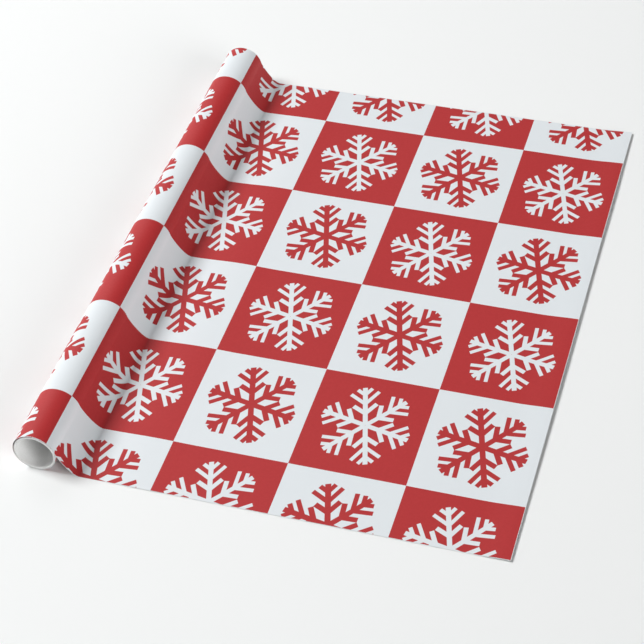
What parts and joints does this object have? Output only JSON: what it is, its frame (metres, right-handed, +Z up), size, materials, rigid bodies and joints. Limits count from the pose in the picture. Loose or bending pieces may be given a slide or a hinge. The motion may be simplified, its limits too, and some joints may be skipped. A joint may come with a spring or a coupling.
{
  "type": "wrapping paper roll",
  "caption": "Gift wrapping paper wound on a greyboard core tube, its printed web leaving the roll's loose outer turn and lying partly unrolled on the table.",
  "frame": {"origin": "on the core tube's axis, at the middle of its length", "axes": "+Y along the core's axis, +Z up from the table, +X from the roll towards the free edge of the unrolled sheet"},
  "size_m": [0.5649, 0.762, 0.0512],
  "materials": {
    "greyboard": "matt",
    "tape": "matt",
    "printed_paper": "matt"
  },
  "bodies": {
    "sheet": {"unrolled_sheet": "printed_paper"},
    "unwinding_web": {"loose_outer_turn": "printed_paper", "leaving_web": "printed_paper"},
    "roll": {"wound_turns": "printed_paper", "start_tape": "tape", "core_inner_ply": "greyboard", "core_middle_ply": "greyboard", "core_outer_ply": "greyboard"}
  },
  "joints": [
    {"name": "unroll_travel", "type": "slide", "parent": "sheet", "child": "unwinding_web", "axis": [1, 0, 0], "range_m": [-1.0844, 0]},
    {"name": "roll_turn", "type": "hinge", "parent": "unwinding_web", "child": "roll", "pos_m": [0, 0, 0], "axis": [0, 1, 0], "range_deg": [0, 2585]}
  ],
  "couplings": [
    {"joint": "roll_turn", "follows": "unroll_travel", "rad_per_m": -41.58}
  ]
}
